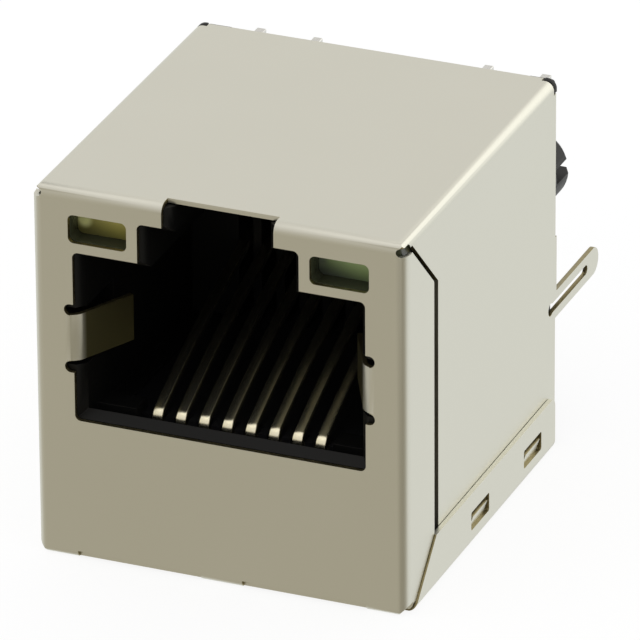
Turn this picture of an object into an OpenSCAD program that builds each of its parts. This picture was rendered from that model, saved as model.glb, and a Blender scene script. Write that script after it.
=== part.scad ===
// Shielded vertical board jack for an eight-way modular plug, with two indicator lamps.
// It lies on its flat bottom panel. X runs across the port, Y from the port face back
// to the circuit board, and Z up. The origin is below the middle, on the bottom panel.

$fn = 48;

/* [Shield] */
// Thickness of the shield's sheet
sheet_t = 0.2; // [0.15:0.01:0.25]
// Width over the two side panels
shield_w = 15.9; // [15.6:0.02:17]
// Height from bottom panel to top panel
shield_h = 16.5; // [16.35:0.05:17.5]
// Depth from the port face to the rear edge
shield_d = 16.85; // [16:0.05:18.5]
// Outer radius of the folds round the port face
face_fold_r = 0.45; // [0.35:0.05:0.5]
// Outer radius of the fold from the port face to the bottom
foot_fold_r = 0.25; // [0.25:0.01:0.4]
// Cut across the port face's lower corners
foot_cut = 0.45; // [0.2:0.01:0.5]
// How far the port face and its flanges stand out beyond the side panels
face_out = 0.13; // [0.05:0.01:0.15]
// Outer radius of the folds from the top to the sides
side_fold_r = 0.4; // [0.35:0.05:0.8]
// Depth of the flanges folded back from the port face
face_flange = 2.96; // [2.8:0.01:3.5]
// Distance of the flange's top slant below the top, at its rear edge
flange_drop = 2.85; // [2.6:0.05:3.3]
// Gap between a face flange and its side panel
seam_gap = 0.76; // [0.6:0.02:0.9]
// Gap along the slanted part of that seam
slant_gap = 0.32; // [0.25:0.01:0.36]
// Height of the relief hole where three folds meet
relief_h = 0.36; // [0.3:0.02:0.44]
// Length of that hole round the corner
relief_l = 0.8; // [0.75:0.01:1]
// Distance of that hole's middle below the top
relief_drop = 0.38; // [0.32:0.01:0.55]
// How far that hole's middle lies outside the corner fold's centre
relief_out = 0.09; // [0.05:0.01:0.12]
// How far that hole's middle lies behind the corner fold's centre
relief_back = 0.06; // [0.02:0.01:0.1]
// Angle by which that hole turns round the corner
relief_lean = 56; // [50:1:62]

/* [Bottom cover] */
// Height of the cover's flanges, which lap outside the side panels
lap_h = 2.35; // [2:0.05:2.8]
// Gap between a lap flange and its side panel
lap_gap = 0.02; // [0.02:0.01:0.06]
// Outer radius of the cover's side folds
lap_fold_r = 0.3; // [0.25:0.01:0.4]
// Radius of the lap flanges' two rear corners
lap_corner_r = 0.4; // [0.3:0.05:0.6]
// Distance from the cover's rear edge to the shield's
lap_rear = 0.5; // [0.2:0.05:1]
// Where the lap flange's slanted front edge meets the bottom
lap_front = 0.62; // [0.5:0.02:0.8]
// Distance along Y between that edge and the face flange's lower slant
lap_clear = 0.08; // [0.08:0.01:0.2]
// Gap between the side panels' lower edges and the cover
cover_gap = 0.15; // [0.1:0.01:0.2]
// Distance of the fold slots from the middle
fold_slot_in = 0.9; // [0.6:0.05:1.4]
// Outer end of the fold slots
fold_slot_out = 6.3; // [5.5:0.05:6.6]
// Height of the port face's edge above the fold slots
fold_slot_h = 0.3; // [0.25:0.01:0.4]
// Length of a latch window in the lap flange
window_l = 2; // [1.7:0.05:2.4]
// Height of a latch window
window_h = 0.82; // [0.7:0.02:1]
// Height of a window's lower edge above the bottom
window_z = 0.68; // [0.55:0.01:0.8]
// Distance of the rear window's middle from the shield's rear edge
window_rear = 3.1; // [2.5:0.05:3.6]
// Distance between the two windows' middles
window_pitch = 5.95; // [5:0.05:6.5]
// Corner radius of a latch window
window_r = 0.1; // [0.05:0.01:0.15]
// Width of the locking lance in a window
lance_w = 1.6; // [1.3:0.05:1.65]
// Angle by which a lance leans out
lance_lean = 18; // [14:1:20]
// Width of the slit on each side of a lance, and depth of its root below the window
lance_slit = 0.08; // [0.06:0.01:0.1]

/* [Port] */
// Width of the port in the face
port_w = 12.62; // [12.4:0.02:12.8]
// Height of the port's wide part
port_h = 7.5; // [7.2:0.05:7.8]
// Distance from the top to the port's wide part
port_drop = 2.76; // [2.65:0.01:2.95]
// Width of the keyway
key_w = 6.96; // [6.7:0.02:7.1]
// Distance from the top to the keyway's top edge
key_drop = 1.03; // [0.95:0.01:1.2]
// Width of the latch notch
latch_w = 4.82; // [4.8:0.02:5.2]
// Depth of the latch notch in the top panel
latch_notch = 0.72; // [0.6:0.02:1.2]
// Corner radius of the port and the lamp windows
corner_r = 0.25; // [0.15:0.01:0.3]
// Height of a side spring finger
finger_h = 2.04; // [1.8:0.02:2.2]
// Distance from the port's top edge to the spring finger's top
finger_drop = 2.84; // [2.6:0.02:3.1]
// Straight length of a spring finger behind its fold
finger_l = 2.6; // [2.2:0.05:2.8]
// Angle between a spring finger and the port wall
finger_lean = 26.5; // [22:0.5:28]
// Middle radius of the spring finger's fold
finger_fold_r = 0.67; // [0.55:0.01:0.7]
// Reach of the relief notches beyond the port's side
notch_reach = 0.4; // [0.35:0.01:0.45]
// Width of a relief notch
notch_w = 0.5; // [0.4:0.02:0.56]
// Clearance of a spring finger in the housing's recess
finger_gap = 0.25; // [0.2:0.01:0.3]

/* [Lamps] */
// Width of a lamp window in the face
lamp_win_w = 2.54; // [2.3:0.02:2.6]
// Height of a lamp window
lamp_win_h = 1.24; // [1.1:0.02:1.3]
// Distance of a lamp window's middle from the centre
lamp_win_x = 5.21; // [5.1:0.01:5.3]
// Distance of a lamp window's middle below the top
lamp_win_drop = 1.73; // [1.65:0.01:1.77]
// Distance of a lamp's middle from the centre
lamp_x = 5.08; // [5.06:0.01:5.14]
// Distance of a lamp's middle below the top
lamp_drop = 1.55; // [1.5:0.01:1.6]
// Width of a lamp's moulded body
lamp_w = 3.16; // [3.1:0.02:3.2]
// Height of a lamp's moulded body
lamp_h = 1.9; // [1.8:0.02:2]
// Length of a lamp's moulded body
lamp_l = 4.2; // [3.6:0.1:5]
// Distance between a lamp's two leads
lead_pitch = 2.54; // [2.5:0.01:2.58]
// Side of a square lead
lead_t = 0.4; // [0.36:0.01:0.5]
// How far the lamp leads pass through the board's seat
lead_reach = 2.6; // [2.4:0.05:3.4]
// Distance of the cup behind the lamp body's front
cup_in = 0.7; // [0.6:0.05:0.9]
// Side of the cup, which stands on the cathode lead
cup_s = 0.9; // [0.84:0.02:1]
// Length of the cup
cup_l = 0.6; // [0.5:0.05:0.7]
// Depth of the cup's hollow
cup_depth = 0.3; // [0.26:0.01:0.35]
// Radius of the hollow at its mouth
cup_mouth_r = 0.38; // [0.34:0.01:0.4]
// Radius of the hollow at its base
cup_base_r = 0.23; // [0.22:0.01:0.26]
// Side of a lamp's light chip
chip_s = 0.3; // [0.25:0.01:0.3]
// Height of that chip
chip_h = 0.2; // [0.15:0.01:0.25]
// Radius of the bond wire from the chip to the anode's post
wire_r = 0.04; // [0.03:0.005:0.05]
// Radius of the wire's arch
wire_arch_r = 0.75; // [0.7:0.01:0.9]

/* [Contacts] */
// Distance between neighbouring contacts in the port
contact_pitch = 1.016; // [0.98:0.002:1.03]
// Width of a contact strip
contact_w = 0.45; // [0.4:0.01:0.5]
// Thickness of a contact strip
contact_t = 0.3; // [0.25:0.01:0.35]
// Middle radius of the contact's front bend
bend_r = 0.5; // [0.45:0.01:0.55]
// Distance of that bend's middle behind the port face
bend_y = 2.55; // [2.45:0.01:2.7]
// Drop of that bend's middle below the port's lower edge
bend_drop = 0.47; // [0.45:0.01:0.65]
// Slope at which a spring arm leaves the bend
arm_slope = 25.5; // [23:0.5:27]
// Slope at the free end of a spring arm
arm_end_slope = 14; // [12:0.5:18]
// Length of a spring arm, measured along Y
arm_l = 10.05; // [9.85:0.05:10.25]
// Depth at which the contacts start to spread to the tails' pitch
fan_start = 5.5; // [5:0.1:6]
// Depth at which they have spread
fan_end = 8.5; // [8:0.1:9.5]
// Depth of the step down to the upper row of tails
step_y = 12.6; // [12:0.1:13]
// How much sooner the lower row's contacts step down
step_lead = 1.6; // [1.2:0.05:1.8]
// Middle radius of the bends at that step
step_r = 0.35; // [0.3:0.01:0.37]
// Distance between neighbouring tails along X
tail_pitch = 1.27; // [1.2:0.01:1.35]
// Distance between the two rows of tails
tail_row = 2.54; // [2.4:0.02:2.7]
// How far the two rows are raised from midway between the housing's bottom and the run
tail_lift = 0.57; // [0.5:0.01:0.7]
// How far the tails pass through the board's seat
tail_reach = 3.2; // [2.6:0.05:3.6]
// Length of a tail's pinched end
tail_nose = 0.4; // [0.3:0.05:0.6]

/* [Housing] */
// Gap between the shield and the housing
fit_gap = 0.05; // [0.03:0.01:0.08]
// Inset of the plastic port behind the face's port
rim = 0.35; // [0.33:0.01:0.4]
// Depth of the rim's lead-in chamfer
rim_depth = 0.37; // [0.35:0.01:0.5]
// Step from the port's lower edge down to the plastic floor
floor_drop = 0.14; // [0.1:0.01:0.2]
// Depth where the ledges beside the front bends start
ledge_y = 1.5; // [1.3:0.05:1.55]
// Distance of those ledges' top below the rim
ledge_drop = 0.16; // [0.1:0.01:0.2]
// Distance of those ledges from the outermost contacts' middle
ledge_side = 0.71; // [0.5:0.01:0.8]
// Depth of the trench below the contacts' run
trench_gap = 0.1; // [0.08:0.01:0.15]
// Distance of the comb behind the port face
comb_y = 11.4; // [11.2:0.05:11.6]
// Room in the comb's slots behind the contacts' free ends
arm_room = 0.5; // [0.4:0.05:0.8]
// Width of a comb slot
comb_slot = 0.65; // [0.6:0.01:0.7]
// Height of the comb slots' top above the port floor
comb_top = 5; // [4.8:0.1:5.6]
// Length of the open latch channel behind the face
latch_l = 7; // [6:0.1:8]
// Thickness of the housing's front wall at the lamps
front_wall = 0.8; // [0.7:0.02:1]
// Half width of the carrier that holds the contacts
carrier_half = 5.1; // [5.05:0.01:5.3]
// Distance of the carrier's front behind the middle of the front bends
carrier_back = 0.12; // [0.1:0.01:0.16]
// Distance of the carrier's top below the plastic floor
carrier_low = 0.1; // [0.08:0.01:0.14]
// Gap between a front bend and the carrier's fingers beside it
comb_gap = 0.1; // [0.08:0.01:0.12]
// Plastic below the lower row of tails in the carrier
carrier_sole = 0.7; // [0.5:0.05:0.8]
// Gap round the carrier in its pocket
carrier_gap = 0.05; // [0.03:0.01:0.08]
// Gap round a contact in the carrier
mould_gap = 0.01; // [0.01:0.005:0.02]

/* [Board side] */
// How far the housing's rear face stands behind the shield
rear_step = 0.1; // [0.05:0.01:0.15]
// Height of the standoff feet on the rear face
foot_h = 0.45; // [0.4:0.05:0.6]
// Side of a standoff foot
foot_s = 1.6; // [1.4:0.05:1.8]
// Distance between the two locating pegs
peg_pitch = 11.43; // [11.2:0.01:11.6]
// Distance of the pegs below the top
peg_drop = 5.55; // [5.45:0.05:5.85]
// Radius of a locating peg
peg_r = 1.6; // [1.5:0.01:1.65]
// How far the pegs pass through the board's seat
peg_reach = 3.1; // [3.1:0.05:3.5]
// Length of a peg's tapered nose
peg_nose = 0.5; // [0.3:0.05:0.5]
// Radius of a peg's end
peg_end_r = 1.33; // [1.25:0.01:1.4]
// Width of the slot that splits a peg
peg_slot = 0.6; // [0.5:0.02:0.7]
// How far that slot lies above the peg's middle
peg_slot_up = 0.2; // [0:0.05:0.25]
// Length of a peg's solid root behind the board's face
peg_root = 1.3; // [1.2:0.05:1.5]
// Width of a ground tab
tab_w = 1.2; // [1.1:0.02:1.4]
// Height of the ground tabs' middle above the bottom
tab_z = 6.3; // [5.8:0.05:6.8]
// How far the ground tabs pass through the board's seat
tab_reach = 4.5; // [4:0.05:4.8]
// Width of the slot along a ground tab
tab_slot = 0.42; // [0.34:0.02:0.46]
// Distance of that slot's start inside the shield's rear edge
tab_slot_in = 0.5; // [0.4:0.05:0.7]
// Radius of the round hole at that start
tab_hole_r = 0.28; // [0.25:0.01:0.32]
// Solid length at a ground tab's tip
tab_tip = 1.5; // [1.3:0.05:1.8]
// Height of the shoulder beside a ground tab
shoulder_h = 2.5; // [2:0.1:3]
// Step of that shoulder behind the shield's rear edge
shoulder_step = 0.15; // [0.1:0.01:0.2]
// How far the shield's upper rear corners are cut back
corner_back = 0.25; // [0.2:0.05:0.35]
// Distance of those cuts' inner ends from the middle
corner_in = 7.4; // [7.2:0.05:7.5]
// Height of those cuts
corner_h = 0.6; // [0.55:0.05:0.8]

/* [Hidden] */

contact_count = 8;
past = 1;              // how far a cut runs past the face it opens
least_r = 0.05;         // smallest inner radius of a fold
lap = 0.05;            // how far two stretches of one piece run into each other
sliver = 0.01;         // thickness of the flat ends of a tapered cut
half_w = shield_w / 2;                      // outside of the side panels
face_half = half_w + face_out;              // outside of the face's flanges
skin = sheet_t + fit_gap;                   // from the shield's outside to the housing
rear_y = shield_d + rear_step;              // the housing's rear face
seat_y = rear_y + foot_h;                   // the board's face
port_top = shield_h - port_drop;
port_floor = port_top - port_h;
key_top = shield_h - key_drop;
lap_half = half_w + lap_gap + sheet_t;      // outside of the lap flanges
total_y = seat_y + tab_reach;               // the ground tabs reach furthest
cavity_half = port_w / 2 - rim;
cavity_top = port_top - rim;
lip_top = port_floor + rim;
lip_y = skin + rim_depth;
floor_z = port_floor - floor_drop;          // plastic floor behind the lip
finger_top = port_top - finger_drop;
finger_mid = finger_top - finger_h / 2;
bend_z = port_floor - bend_drop;
run_z = bend_z - bend_r;                    // the contacts' level run to the rear
trench_z = run_z - contact_t / 2 - trench_gap;
trench_half = (contact_count - 1) / 2 * contact_pitch + ledge_side;
carrier_front = bend_y + carrier_back;
carrier_top = floor_z - carrier_low;
tail_low = (skin + run_z - tail_row) / 2 + tail_lift;        // the lower row of tails
carrier_z = tail_low - contact_t / 2 - carrier_sole;
arm_end_y = bend_y - bend_r * sin(arm_slope) + arm_l;        // the spring arms' free ends
lamp_z = shield_h - lamp_drop;
lamp_front = skin + front_wall;
cup_y = lamp_front + cup_in;
chip_y = cup_y + cup_depth - chip_h;        // the chip's face, and the anode post's

// Sets a part down with the origin under the middle of the whole jack.
module placed() translate([0, -total_y / 2, 0]) children();

// A block between two opposite corners.
module block(low, high) translate(low) cube(high - low);

// Both mirror images of what stands on the +X side.
module both_sides() {
    children();
    mirror([1, 0, 0]) children();
}

// An outline in the YZ plane, given as [y, z], drawn out along X.
module along_x(x0, x1) translate([x0, 0, 0])
    rotate([90, 0, 90]) linear_extrude(x1 - x0) children();

// An outline in the XZ plane, given as [x, z], drawn out along Y.
module along_y(y0, y1) translate([0, y1, 0])
    rotate([90, 0, 0]) linear_extrude(y1 - y0) children();

// A rectangle with four equal round corners.
module round_rect(low, high, r) {
    translate(low + [r, 0]) square(high - low - [2 * r, 0]);
    translate(low + [0, r]) square(high - low - [0, 2 * r]);
    for (x = [low[0] + r, high[0] - r], y = [low[1] + r, high[1] - r])
        translate([x, y]) circle(r);
}

// The jack's box with its folded edges, drawn in by inset and cut off at y_end.
module envelope(inset, y_end, half = half_w) {
    face_r = face_fold_r - inset;
    side_r = side_fold_r - inset;
    foot_r = max(foot_fold_r - inset, least_r);
    low = inset;
    high = shield_h - inset;
    w = half - inset;
    intersection() {
        along_y(low, y_end) round_rect([-w, low], [w, high], side_r);
        along_x(-w, w) {
            round_rect([low, low + foot_r], [y_end + past, high], face_r);
            round_rect([low, low], [y_end + past, high - face_r], foot_r);
        }
        linear_extrude(shield_h) round_rect([-w, low], [w, y_end + past], face_r);
    }
}

// Points along an arc, about 10 degrees apart.
function arc(middle, r, from, to) = let (n = max(1, ceil(abs(to - from) / 10)))
    [for (k = [0:n]) let (a = from + (to - from) * k / n) middle + r * [cos(a), sin(a)]];

// A band of even thickness along a path of points.
function heading(p, i) = let (a = p[max(i - 1, 0)], b = p[min(i + 1, len(p) - 1)])
    (b - a) / norm(b - a);
function side_of(p, d) = [for (i = [0:len(p) - 1]) let (h = heading(p, i))
    p[i] + d * [-h[1], h[0]]];
function reversed(p) = [for (i = [len(p) - 1:-1:0]) p[i]];
module band(path, t)
    polygon(concat(side_of(path, t / 2), reversed(side_of(path, -t / 2))));

// ---------------------------------------------------------------- shield

// The port's stepped outline in the face, with the latch notch open at the top.
module port_outline() {
    half = port_w / 2;
    round_rect([-half, port_floor], [half, port_top], corner_r);
    round_rect([-key_w / 2, port_floor], [key_w / 2, key_top], corner_r);
    translate([-latch_w / 2, port_floor]) square([latch_w, shield_h]);
    for (side = [-1, 1], z = [finger_top + notch_w / 2, finger_top - finger_h - notch_w / 2]) {
        tip = half + notch_reach - notch_w / 2;
        translate([side * tip, z]) circle(notch_w / 2);
        translate([side * tip / 2, z]) square([tip, notch_w], center = true);
    }
    translate([-half - notch_reach, finger_mid - finger_h / 2])
        square([port_w + 2 * notch_reach, finger_h]);
}

// One spring finger, folded back into the port from the face at its left side.
module spring_finger() {
    start = -port_w / 2 - notch_reach;
    turn = 90 - finger_lean;
    fold = arc([start, sheet_t / 2 + finger_fold_r], finger_fold_r, -90, turn - 90);
    last = fold[len(fold) - 1];
    path = concat([[start - sheet_t, sheet_t / 2]], fold,
        [last + finger_l * [cos(turn), sin(turn)]]);
    translate([0, 0, finger_top - finger_h]) linear_extrude(finger_h) band(path, sheet_t);
}

// A folded box of sheet, open at the rear and half wide on each side.
module sheet_box(half) difference() {
    envelope(0, shield_d, half);
    envelope(sheet_t, shield_d + past, half);
}

// The edge of a face flange in the YZ plane, from its bottom to its top.
flange_edge = let (up = flange_drop - relief_drop, zb = face_flange - lap_front + lap_clear,
    zt = shield_h - flange_drop)
    [[face_flange - zb - past, -past], [face_flange, zb], [face_flange, zt],
        [face_flange - up, zt + up]];

// The corners and flanges of the port face, which stand out beyond the side panels; rise
// lifts their upper end.
module flange_zone(from, rise = 0) along_x(from, face_half + past)
    polygon(concat([[-past, -past]], flange_edge,
        [flange_edge[3] + [0, rise], [-past, flange_edge[3][1] + rise]]));

// The seam between a face flange and its side panel.
module flange_seam() {
    top = flange_edge[3];
    jump = slant_gap * sqrt(2);
    rear_y = face_flange + seam_gap;
    along_x(half_w - side_fold_r, face_half + past)
        polygon(concat(flange_edge, [top + [jump, 0],
            [rear_y, top[1] + top[0] + jump - rear_y], [rear_y, -past]]));
}

// The oval hole at each upper front corner, which lets three folds meet.
module corner_relief() {
    through = 2 * past;
    middle = [half_w - face_fold_r + relief_out, face_fold_r + relief_back, shield_h - relief_drop];
    translate(middle) rotate([0, 0, relief_lean]) rotate([90, 0, 0]) {
        for (side = [-1, 1]) translate([side * (relief_l - relief_h) / 2, 0, 0])
            cylinder(r = relief_h / 2, h = through, center = true);
        cube([relief_l - relief_h, relief_h, through], center = true);
    }
}

// Where the middles of a flange's two latch windows lie along Y.
function window_places() = let (y = shield_d - window_rear) [y - window_pitch, y];

// The bottom cover: a tray whose flanges lap over the side panels.
module bottom_cover() {
    r = lap_fold_r;
    w = lap_half;
    rear = shield_d - lap_rear;
    difference() {
        along_y(foot_fold_r, rear) difference() {
            round_rect([-w, 0], [w, lap_h + 2 * r], r);
            round_rect([sheet_t - w, sheet_t], [w - sheet_t, lap_h + 3 * r], r - sheet_t);
            translate([-w - past, lap_h]) square([2 * (w + past), lap_h]);
        }
        both_sides() along_x(half_w - side_fold_r + lap_gap, w + past)
            polygon([[lap_front - past, -past], [lap_front + lap_h + past, lap_h + past],
                [-past, lap_h + past], [-past, -past]]);
        both_sides() along_x(half_w, w + past) for (y = window_places())
            round_rect([y - window_l / 2, window_z], [y + window_l / 2, window_z + window_h], window_r);
        both_sides() along_x(half_w - side_fold_r, w + past) difference() {
            translate([rear - lap_corner_r, -past]) square([lap_corner_r + past, lap_h + 2 * past]);
            round_rect([0, 0], [rear, lap_h], lap_corner_r);
        }
    }
}

// A lance of the side panel, leaning out into its window with its free edge up.
module lance(y) translate([half_w - sheet_t, y - lance_w / 2, window_z - lance_slit])
    rotate([0, lance_lean, 0]) cube([sheet_t, lance_w, window_h - lance_slit]);

// The opening in the side panel that a lance is cut from.
module lance_cut(y) block([half_w - sheet_t - past, y - lance_w / 2 - lance_slit, window_z],
    [half_w + past, y + lance_w / 2 + lance_slit, window_z + window_h]);

// A slotted ground tab and the shoulder beside it, on the +X side.
module ground_tab() {
    r = tab_w / 2;
    tip_y = seat_y + tab_reach;
    x0 = half_w - sheet_t;
    difference() {
        union() {
            block([x0, shield_d - past, tab_z - r], [half_w, tip_y - r, tab_z + r]);
            translate([x0, tip_y - r, tab_z]) rotate([0, 90, 0]) cylinder(r = r, h = sheet_t);
            block([x0, shield_d - past, tab_z], [half_w, shield_d + shoulder_step, tab_z + r + shoulder_h]);
        }
        tab_slot_cut();
    }
}

// The slot that lets the tab squeeze into its hole, with a round inner end.
module tab_slot_cut() {
    r = tab_slot / 2;
    y0 = shield_d - tab_slot_in;
    y1 = seat_y + tab_reach - tab_tip;
    block([half_w - past, y0, tab_z - r], [half_w + past, y1, tab_z + r]);
    translate([half_w, y1, tab_z]) rotate([0, 90, 0]) cylinder(r = r, h = 2 * past, center = true);
    translate([half_w, y0, tab_z]) rotate([0, 90, 0]) cylinder(r = tab_hole_r, h = 2 * past, center = true);
}

// A lamp window's outline on the +X side.
module lamp_window() {
    low = [lamp_win_x - lamp_win_w / 2, shield_h - lamp_win_drop - lamp_win_h / 2];
    round_rect(low, low + [lamp_win_w, lamp_win_h], corner_r);
}

module shield() placed() color("silver") {
    difference() {
        union() {
            difference() {
                sheet_box(half_w);
                both_sides() flange_zone(half_w - face_fold_r);
            }
            intersection() {
                sheet_box(face_half);
                both_sides() flange_zone(half_w - face_fold_r - lap, lap);
            }
        }
        along_y(-past, face_fold_r) port_outline();
        block([-latch_w / 2, -past, shield_h - past], [latch_w / 2, latch_notch, shield_h + past]);
        both_sides() along_y(-past, face_fold_r) lamp_window();
        both_sides() block([fold_slot_in, -past, -past], [fold_slot_out, foot_fold_r, fold_slot_h]);
        both_sides() along_y(-past, lap_front) polygon([[face_half - foot_cut, 0],
            [face_half + past, foot_cut + past], [face_half + past, -past], [face_half - foot_cut, -past]]);
        block([-shield_w, face_fold_r + sheet_t, -past], [shield_w, shield_d + past, sheet_t + cover_gap]);
        both_sides() {
            flange_seam();
            corner_relief();
            for (y = window_places()) lance_cut(y);
            tab_slot_cut();
            block([corner_in, shield_d - corner_back, shield_h - corner_h],
                [shield_w, shield_d + past, shield_h + past]);
        }
    }
    bottom_cover();
    both_sides() {
        ground_tab();
        spring_finger();
        for (y = window_places()) lance(y);
    }
}

// ---------------------------------------------------------------- contacts

// Where a contact stands in the port, and where its tail stands on the board.
function contact_x(i) = (i - (contact_count + 1) / 2) * contact_pitch;
function tail_x(i) = (i - (contact_count + 1) / 2) * tail_pitch;
function tail_z(i) = tail_low + (1 - i % 2) * tail_row;

// The spring end of a contact in the YZ plane: level run, front bend and free arm.
// The arm is a parabola whose slope falls evenly to that of its free end.
function spring_path() = let (
    bend = arc([bend_y, bend_z], bend_r, 270, 90 + arm_slope),
    last = bend[len(bend) - 1],
    sag = (tan(arm_slope) - tan(arm_end_slope)) / (2 * arm_l),
    step = arm_l / 8,
    arm = [for (d = [step:step:arm_l]) last + [d, d * tan(arm_slope) - sag * d * d]])
    concat([[fan_start + lap, run_z]], bend, arm);

// The tail end in the YZ plane: level run, two bends to its row, and the pin. Where the
// step is low, the bends turn by less than a right angle.
function tail_path(i) = let (
    z = tail_z(i),
    way = z > run_z ? -1 : 1,
    turn = acos(max(0, 1 - abs(run_z - z) / (2 * step_r))),
    y = step_y - (i % 2) * step_lead,
    half = step_r * sin(turn))
    concat([[fan_end - lap, run_z]],
        arc([y - half, run_z - way * step_r], step_r, way * 90, way * (90 - turn)),
        arc([y + half, z + way * step_r], step_r, way * (-90 - turn), way * -90),
        [[seat_y + tail_reach - tail_nose, z]]);

// One contact; grow adds clearance all round for the plastic it is moulded into.
module contact_form(i, grow = 0) {
    w = contact_w / 2 + grow;
    t = contact_t + 2 * grow;
    x = contact_x(i);
    xt = tail_x(i);
    along_x(x - w, x + w) band(spring_path(), t);
    translate([0, 0, run_z - t / 2]) linear_extrude(t)
        polygon([[x - w, fan_start], [x + w, fan_start], [xt + w, fan_end], [xt - w, fan_end]]);
    along_x(xt - w, xt + w) band(tail_path(i), t);
    // The pin's end is pinched to half its width.
    tip_y = seat_y + tail_reach;
    translate([0, 0, tail_z(i) - t / 2]) linear_extrude(t)
        polygon([[xt - w, tip_y - tail_nose - lap], [xt + w, tip_y - tail_nose - lap],
            [xt + w, tip_y - tail_nose], [xt + w / 2, tip_y],
            [xt - w / 2, tip_y], [xt - w, tip_y - tail_nose]]);
}

module contact(i) placed() color("goldenrod") contact_form(i);

module contact_carrier() placed() color([0.12, 0.12, 0.13]) difference() {
    union() {
        block([-carrier_half, carrier_front, carrier_z], [carrier_half, rear_y, carrier_top]);
        // Fingers between the front bends keep the contacts apart.
        w = (contact_pitch - contact_w) / 2 - comb_gap;
        for (i = [0:contact_count]) let (x = contact_x(i) + contact_pitch / 2)
            block([x - w, bend_y - bend_r, run_z - contact_t / 2],
                [x + w, carrier_front + past, carrier_top]);
    }
    for (i = [1:contact_count]) contact_form(i, mould_gap);
}

// ---------------------------------------------------------------- lamps

module lamp_lead(x) block([x - lead_t / 2, chip_y, lamp_z - lead_t / 2],
    [x + lead_t / 2, seat_y + lead_reach, lamp_z + lead_t / 2]);

module anode() lamp_lead(lamp_x - lead_pitch / 2);

// The cathode lead carries the cup on a short arm.
module cathode_form() {
    lamp_lead(lamp_x + lead_pitch / 2);
    block([lamp_x - cup_s / 2, cup_y, lamp_z - cup_s / 2],
        [lamp_x + cup_s / 2, cup_y + cup_l, lamp_z + cup_s / 2]);
    block([lamp_x, cup_y + cup_depth, lamp_z - lead_t / 2],
        [lamp_x + lead_pitch / 2, cup_y + cup_l, lamp_z + lead_t / 2]);
}

module cathode() difference() {
    cathode_form();
    translate([lamp_x, cup_y + cup_depth, lamp_z]) rotate([90, 0, 0])
        cylinder(r1 = cup_base_r, r2 = cup_mouth_r, h = cup_depth);
}

module chip() block([lamp_x - chip_s / 2, chip_y, lamp_z - chip_s / 2],
    [lamp_x + chip_s / 2, chip_y + chip_h, lamp_z + chip_s / 2]);

// The bond wire: an arch from the chip's face to the anode post's face.
module bond_wire() {
    span = lead_pitch / 2;
    rise = sqrt(wire_arch_r * wire_arch_r - span * span / 4);
    intersection() {
        translate([lamp_x - span / 2, chip_y + rise, lamp_z])
            rotate_extrude() translate([wire_arch_r, 0]) circle(wire_r);
        block([lamp_x - lamp_w / 2, lamp_front, lamp_z - wire_r],
            [lamp_x + chip_s / 2, chip_y, lamp_z + wire_r]);
    }
}

// The body of clear epoxy, which also fills the cup's hollow round the chip.
module lamp_body() difference() {
    block([lamp_x - lamp_w / 2, lamp_front, lamp_z - lamp_h / 2],
        [lamp_x + lamp_w / 2, lamp_front + lamp_l, lamp_z + lamp_h / 2]);
    anode();
    cathode();
    chip();
    bond_wire();
}

yellow = [0.75, 0.68, 0.3];
green = [0.5, 0.68, 0.45];

// Places a lamp's piece on the left for -1 and on the right for 1.
module on_side(side) placed() mirror([side < 0 ? 1 : 0, 0, 0]) children();

// ---------------------------------------------------------------- housing

// A lead-in chamfer round one rectangle of the port.
module lead_in(low, high) hull() {
    block([low[0] - rim, skin - sliver, low[1] - rim], [high[0] + rim, skin, high[1] + rim]);
    block([low[0], lip_y - sliver, low[1]], [high[0], lip_y, high[1]]);
}

// The room for the plug: a stepped passage, with ledges beside the front bends.
module plug_cavity() {
    key_half = key_w / 2 - rim;
    latch_half = latch_w / 2 - rim;
    key_roof = key_top - rim;
    difference() {
        block([-cavity_half, lip_y, floor_z], [cavity_half, comb_y, cavity_top]);
        both_sides() block([trench_half, ledge_y, floor_z - past],
            [cavity_half + past, carrier_front - carrier_gap, lip_top - ledge_drop]);
    }
    block([-cavity_half, 0, lip_top], [cavity_half, comb_y, cavity_top]);
    block([-key_half, 0, lip_top], [key_half, comb_y, key_roof]);
    block([-latch_half, 0, lip_top], [latch_half, latch_l, shield_h]);
    lead_in([-cavity_half, lip_top], [cavity_half, cavity_top]);
    lead_in([-key_half, lip_top + rim], [key_half, key_roof]);
    lead_in([-latch_half, lip_top + rim], [latch_half, shield_h]);
}

// Room in the side wall for a spring finger.
module finger_recess() {
    block([0, 0, finger_top - finger_h - finger_gap],
        [port_w / 2 + notch_reach + finger_gap, finger_fold_r + finger_l, finger_top + finger_gap]);
}

// The pocket that a lamp drops into, its window, and the grooves for its leads.
module lamp_pocket() {
    gap = fit_gap;
    block([lamp_x - lamp_w / 2 - gap, lamp_front, lamp_z - lamp_h / 2 - gap],
        [lamp_x + lamp_w / 2 + gap, lamp_front + lamp_l + gap, shield_h]);
    along_y(0, lamp_front + lap) lamp_window();
    for (side = [-1, 1]) let (x = lamp_x + side * lead_pitch / 2)
        block([x - lead_t / 2 - gap, lamp_front, lamp_z - lead_t / 2 - gap],
            [x + lead_t / 2 + gap, rear_y + past, shield_h]);
}

// The rear pocket for the carrier, and the trench in front of it for the front bends.
module carrier_pocket() {
    g = carrier_gap;
    block([-carrier_half - g, carrier_front - g, carrier_z - g],
        [carrier_half + g, rear_y + past, floor_z + g]);
    block([-trench_half, lip_y, trench_z], [trench_half, carrier_front, floor_z + past]);
    block([-cavity_half, lip_y, trench_z], [cavity_half, ledge_y, floor_z + past]);
}

// Slots in the rear wall, which guide the free ends of the spring arms.
module comb_slots() for (i = [1:contact_count])
    block([contact_x(i) - comb_slot / 2, comb_y - past, floor_z],
        [contact_x(i) + comb_slot / 2, arm_end_y + arm_room, floor_z + comb_top]);

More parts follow.
